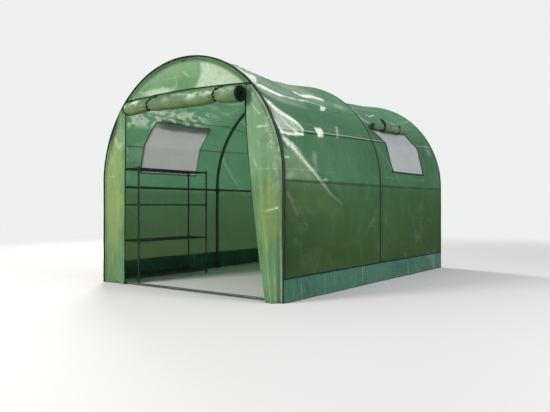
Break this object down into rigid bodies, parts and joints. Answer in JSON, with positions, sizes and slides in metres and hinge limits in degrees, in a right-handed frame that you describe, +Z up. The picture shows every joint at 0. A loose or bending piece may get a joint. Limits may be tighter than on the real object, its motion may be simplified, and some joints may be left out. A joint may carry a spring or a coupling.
{
  "type": "polytunnel greenhouse",
  "caption": "Walk-in polytunnel greenhouse: arched tube frame under translucent green film, roll-up front door, netted side windows and a wire staging rack inside.",
  "frame": {"origin": "on the ground, at the middle of the footprint of the tunnel with its rolled door", "axes": "+Z up, -Y out of the front doorway, +X to the right of someone who looks in along +Y"},
  "size_m": [2.0056, 3.1336, 1.8826],
  "materials": {
    "cover_film": "reinforced green polyethylene film, translucent, semi-gloss",
    "skirt_film": "opaque darker green ground skirt, semi-gloss",
    "insect_net": "fine grey-white insect mesh",
    "black_binding": "near-black woven tape, piping and zip",
    "frame_steel": "dark green powder-coated steel tube",
    "socket_plastic": "moulded black plastic",
    "staging_steel": "dark green plastic-coated wire and tube"
  },
  "bodies": {
    "root": {"crown_film": "cover_film", "door_head_binding": "black_binding", "door_roll": "cover_film", "door_ties": "black_binding", "door_zips": "black_binding", "foot_sockets": "socket_plastic", "front_edge_piping": "black_binding", "front_gable_film": "cover_film", "front_ground_bar": "frame_steel", "front_hoop_arch": "frame_steel", "front_hoop_legs": "frame_steel", "left_jamb_film": "cover_film", "left_roof_film": "cover_film", "left_shoulder_film": "cover_film", "left_skirt": "skirt_film", "left_wall_film": "cover_film", "left_window_net": "insect_net", "middle_hoop_arch": "frame_steel", "middle_hoop_legs": "frame_steel", "middle_seam_band": "black_binding", "rear_edge_piping": "black_binding", "rear_ground_bar": "frame_steel", "rear_hoop_arch": "frame_steel", "rear_hoop_legs": "frame_steel", "rear_panel_film": "cover_film", "rear_skirt": "skirt_film", "ridge_rails": "frame_steel", "ridge_sockets": "socket_plastic", "right_jamb_film": "cover_film", "right_roof_film": "cover_film", "right_shoulder_film": "cover_film", "right_skirt": "skirt_film", "right_wall_film": "cover_film", "right_window_net": "insect_net", "side_ground_rails": "frame_steel", "side_rails": "frame_steel", "side_sockets": "socket_plastic", "skirt_bindings": "black_binding", "staging_posts": "staging_steel", "staging_shelf_1": "staging_steel", "staging_shelf_2": "staging_steel", "staging_shelf_3": "staging_steel", "staging_shelf_4": "staging_steel", "window_bindings": "black_binding", "window_flap_rolls": "cover_film", "window_flap_ties": "black_binding"}
  },
  "joints": []
}
